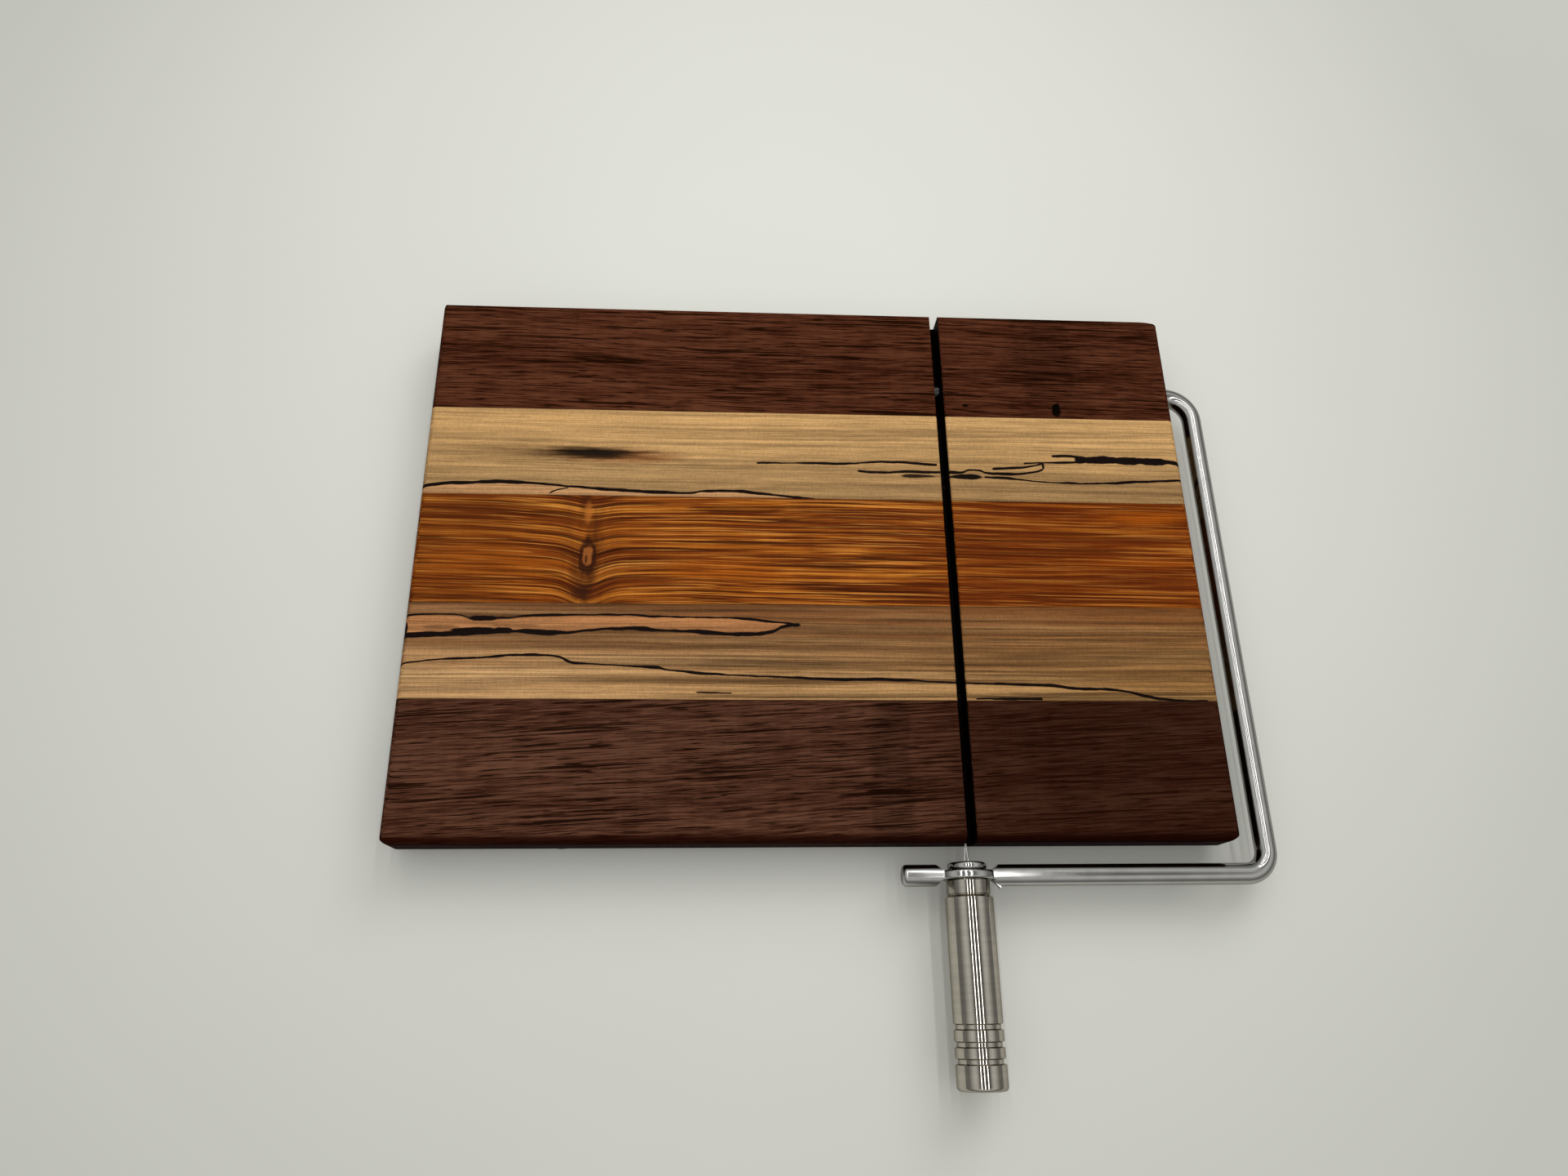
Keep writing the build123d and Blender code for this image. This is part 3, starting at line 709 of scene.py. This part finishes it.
def turned_steel(name, colour, rough):
    """Steel as it leaves the lathe: fine rings about the Y axis."""
    w = Wiring(name)
    place = w.place()
    rings = w.noise(place, (0.02, 9.0, 0.02), 3.0, 0.7)
    broad = w.noise(place, (0.05, 0.5, 0.05), 3.0, 0.6, 5.0)
    shade = w.fit(broad, 0.3, 0.7, 0.92, 1.06)
    tint = w.node("VectorMath", {0: colour[:3], "Scale": shade}, operation="SCALE").outputs[0]
    surface = {"Base Color": tint, "Roughness": w.fit(rings, 0.3, 0.7, rough * 0.95, rough * 1.05)}
    return w.finish(surface, rings, 0.002 * MM, 0.15, Metallic=1.0, **{"Specular Tint": EDGE_TINT})


def rubber(name):
    """Matt black rubber with moulding bloom."""
    w = Wiring(name)
    place = w.place()
    bloom = w.noise(place, (0.6, 0.6, 0.6), 4.0, 0.6)
    grit = w.noise(place, (5.0, 5.0, 5.0), 2.0)
    colour = w.ramp(bloom, (0.35, linear(22, 22, 23)), (0.7, linear(44, 44, 45)))
    surface = {"Base Color": colour, "Roughness": w.fit(bloom, 0.3, 0.7, 0.6, 0.8)}
    return w.finish(surface, grit, 0.03 * MM, 0.5)


def table_top(name):
    """A pale, smooth table with the faintest cloudiness, and a painted pool of light: palest round
    one point, darker further out.
    """
    w = Wiring(name)
    place = w.place()
    cloud = w.noise(place, (0.006, 0.006, 0.006), 3.0, 0.5)
    grit = w.noise(place, (1.5, 1.5, 1.5), 3.0, 0.6)
    # Painted light: the table is palest round one point and darker further out.
    reach = w.spot(w.place(board_zero()), *TABLE_LIGHT_POOL)
    level = w.math("MULTIPLY_ADD", w.math("SUBTRACT", cloud, 0.5), 0.12, reach)
    colour = w.ramp(
        level,
        (0.15, (0.86, 0.87, 0.81, 1.0)),
        (0.5, (0.8, 0.8, 0.755, 1.0)),
        (1.0, (0.63, 0.635, 0.59, 1.0)),
    )
    surface = {"Base Color": colour, "Roughness": w.fit(cloud, 0.3, 0.7, 0.55, 0.62)}
    return w.finish(surface, grit, 0.02 * MM, 0.2, **{"Specular IOR Level": 0.25})


def wood_finishes():
    """The finish of each strip of the board."""
    pink = tone(196, 142, 98)
    back_under = ((BACK_JOINT_LINE, ((-128.5, 17.0), (1, 17.0)), pink, 0.55),)
    front_under = ((FRONT_TOP_LINE, FRONT_THICK_LINE, tone(184, 124, 78), 0.65),)
    return {
        "walnut_strip_front": walnut(
            "front_walnut",
            "walnut_strip_front",
            (tone(23, 8, 3), tone(47, 22, 13), tone(69, 40, 28), tone(96, 63, 47)),
            slant=0.055,
            shift=40.0,
            extras=front_band,
        ),
        "walnut_strip_back": walnut(
            "back_walnut",
            "walnut_strip_back",
            (tone(23, 7, 1), tone(48, 20, 9), tone(68, 34, 20), tone(94, 54, 36)),
            slant=-0.012,
            shift=12.0,
            extras=back_knot,
        ),
        "maple_strip_front": maple(
            "front_maple",
            "maple_strip_front",
            (tone(182, 142, 97), tone(140, 104, 61), tone(112, 73, 44), tone(110, 68, 35)),
            60.0,
            0.55,
            FRONT_LINES,
            FRONT_BLOBS,
            front_under,
        ),
        "maple_strip_back": maple(
            "back_maple",
            "maple_strip_back",
            (tone(162, 128, 85), tone(140, 107, 69), tone(187, 146, 95), tone(204, 161, 106)),
            80.0,
            0.16,
            BACK_LINES,
            BACK_BLOBS,
            back_under,
            spindle_stain,
        ),
        "orange_strip_middle": orange_wood("orange_wood", "orange_strip_middle"),
    }


# --------------------------------------------------------------------------- the wire


def tube(name, points, radius, sides=12):
    """A closed round tube along a path, with rings that don't twist."""
    verts, faces = [], []
    side = Vector((0.0, 0.0, 1.0))
    for i, point in enumerate(points):
        ahead = (points[min(i + 1, len(points) - 1)] - points[max(i - 1, 0)]).normalized()
        side = (side - ahead * side.dot(ahead)).normalized()
        other = ahead.cross(side)
        for k in range(sides):
            turn = 2 * math.pi * k / sides
            verts.append(point + (side * math.cos(turn) + other * math.sin(turn)) * radius)
        if i:
            first = (i - 1) * sides
            for k in range(sides):
                after = (k + 1) % sides
                faces.append((first + k, first + after, first + sides + after, first + sides + k))
    faces.append(tuple(reversed(range(sides))))
    faces.append(tuple(range(len(verts) - sides, len(verts))))
    mesh = bpy.data.meshes.new(name)
    mesh.from_pydata([tuple(v) for v in verts], [], faces)
    mesh.polygons.foreach_set("use_smooth", [len(face) == 4 for face in faces])
    mesh.update()
    made = bpy.data.objects.new(name, mesh)
    bpy.context.scene.collection.objects.link(made)
    return made


def wire_path():
    """One strand: straight, twisted out, round the anchor pin, and twisted back."""
    low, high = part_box("cutting_wire")
    pin_low, pin_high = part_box("anchor_pin")
    x, z = (low.x + high.x) / 2, (low.z + high.z) / 2
    pin_y = (pin_low.y + pin_high.y) / 2
    split_y, twist_y = pin_y + LOOP_LENGTH, pin_y + NECK_REACH

    run = twist_y + 0.6 * MM - high.y
    straight = [Vector((x, high.y + run * i / 20, z)) for i in range(21)]

    def strand(phase):
        path = []
        for i in range(TWIST_STEPS + 1):
            part = i / TWIST_STEPS
            angle = phase + 2 * math.pi * TWIST_TURNS * (1 - part)
            reach = WIRE_RADIUS * min(1.0, part * 12) if phase == 0 else WIRE_RADIUS
            y = twist_y + (split_y - twist_y) * part
            path.append(Vector((x + reach * math.cos(angle), y, z + reach * math.sin(angle))))
        return path

    def leg(way):
        path = []
        for i in range(1, 16):
            part = i / 16
            ease = part * part * (3 - 2 * part) * 0.35 + part * 0.65
            reach = WIRE_RADIUS + (LOOP_HALF_WIDTH - WIRE_RADIUS) * ease
            path.append(Vector((x + way * reach, split_y + (pin_y - split_y) * part, z)))
        return path

    bend = []
    for i in range(19):
        angle = math.pi * i / 18
        across, ahead = LOOP_HALF_WIDTH * math.cos(angle), LOOP_HALF_WIDTH * math.sin(angle)
        bend.append(Vector((x + across, pin_y - ahead, z)))
    out = strand(0.0) + leg(1) + bend
    back = leg(-1)[::-1] + strand(math.pi)[::-1]
    return straight + out + back


def add_wire(finish):
    """The wire with its twisted neck and open loop, in place of the plain CAD wire."""
    wire = tube("twisted_wire", wire_path(), WIRE_RADIUS)
    wire.data.materials.append(finish)
    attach(wire, "frame")
    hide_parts("cutting_wire")


# --------------------------------------------------------------------------- stage


def add_table():
    """A pale table under the feet."""
    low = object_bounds()[0]
    mesh = bpy.data.meshes.new("table")
    half = TABLE_HALF
    corners = [(-half, -half), (half, -half), (half, half), (-half, half)]
    mesh.from_pydata([(x, y, low.z) for x, y in corners], [], [(0, 1, 2, 3)])
    mesh.materials.append(table_top("table_top"))
    table = bpy.data.objects.new("table", mesh)
    bpy.context.scene.collection.objects.link(table)


def add_lamp(name, place, target, size, radiance):
    """A soft rectangle of light that faces a target; returns its object."""
    width, length = size
    light = bpy.data.lights.new(name, "AREA")
    light.shape = "RECTANGLE"
    light.size, light.size_y = width, length
    light.energy = radiance * math.pi * width * length
    light.color = LAMP_COLOUR
    lamp = bpy.data.objects.new(name, light)
    lamp.location = place
    aim = Vector(target) - Vector(place)
    lamp.rotation_euler = aim.to_track_quat("-Z", "Y").to_euler()
    bpy.context.scene.collection.objects.link(lamp)
    return lamp


def light_scene():
    """Three long ceiling strips that run front to back, a big soft lamp behind, a bright room."""
    low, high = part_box("handle_grip")
    handle_x = (low.x + high.x) / 2
    for number, angle in enumerate(STRIP_ANGLES):
        x = handle_x + STRIP_HEIGHT * math.tan(math.radians(angle))
        over, under = (x, STRIP_MIDDLE_Y, STRIP_HEIGHT), (x, STRIP_MIDDLE_Y, 0.0)
        add_lamp(f"strip_{number}", over, under, STRIP_SIZE, STRIP_RADIANCE)
    origin = (0.0, 0.0, 0.0)
    back = add_lamp("back_soft", BACK_LAMP_PLACE, origin, BACK_LAMP_SIZE, BACK_LAMP_RADIANCE)
    # It fills the shadows, and the steel shows no white panel for it.
    back.visible_glossy = False

    world = bpy.data.worlds.new("room")
    world.use_nodes = True
    bpy.context.scene.world = world
    nodes, links = world.node_tree.nodes, world.node_tree.links
    nodes.clear()
    direction = nodes.new("ShaderNodeTexCoord")
    split = nodes.new("ShaderNodeSeparateXYZ")
    ramp = nodes.new("ShaderNodeValToRGB")
    background = nodes.new("ShaderNodeBackground")
    output = nodes.new("ShaderNodeOutputWorld")
    links.new(direction.outputs["Generated"], split.inputs[0])
    links.new(split.outputs["Z"], ramp.inputs[0])
    links.new(ramp.outputs[0], background.inputs[0])
    links.new(background.outputs[0], output.inputs[0])
    band = ramp.color_ramp.elements
    band[0].position, band[0].color = ROOM_GLOW[0][0], (*ROOM_GLOW[0][1], 1.0)
    band[1].position, band[1].color = ROOM_GLOW[-1][0], (*ROOM_GLOW[-1][1], 1.0)
    for height, glow in ROOM_GLOW[1:-1]:
        band.new(height).color = (*glow, 1.0)
    background.inputs["Strength"].default_value = ROOM_STRENGTH


def add_camera():
    """A wide phone-like view from above and in front."""
    data = bpy.data.cameras.new("camera")
    data.lens, data.sensor_width = CAMERA_LENS, CAMERA_SENSOR
    data.clip_start, data.clip_end = 0.01, 20.0
    camera = bpy.data.objects.new("camera", data)
    camera.location = board_zero() + Vector(CAMERA_PLACE) * MM
    camera.rotation_euler = tuple(math.radians(angle) for angle in CAMERA_TURN)
    bpy.context.scene.collection.objects.link(camera)
    bpy.context.scene.camera = camera


def dress(nodes):
    """Gives every CAD node its finish."""
    rod = polished_steel("polished_rod", (0.48, 0.475, 0.46), 0.14)
    bolt = polished_steel("polished_bolt", (0.55, 0.54, 0.52), 0.08, shift=9.0)
    wire = polished_steel("wire_steel", (0.66, 0.65, 0.63), 0.2, (2.0, 2.0, 2.0), 4.0)
    zinc = polished_steel("zinc_steel", (0.56, 0.57, 0.6), 0.32, (1.2, 1.2, 1.2), 6.0)
    handle = turned_steel("satin_handle", (0.5, 0.465, 0.405), 0.07)
    black = rubber("foot_rubber")
    finishes = {
        "frame_rod": rod,
        "tension_bolt": bolt,
        "anchor_pin": bolt,
        "wire_end_ball": wire,
        "cutting_wire": wire,
        "handle_grip": handle,
        **wood_finishes(),
    }
    for name, node in nodes.items():
        if name in finishes:
            finish = finishes[name]
        elif name.startswith("rubber_foot"):
            finish = black
        else:
            finish = zinc
        for material_slot in node.material_slots:
            material_slot.material = finish
    return wire


def main():
    """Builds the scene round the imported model."""
    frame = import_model()
    bpy.context.scene.view_settings.view_transform = "Standard"
    wire_finish = dress(frame["nodes"])
    add_wire(wire_finish)
    add_table()
    light_scene()
    add_camera()


main()
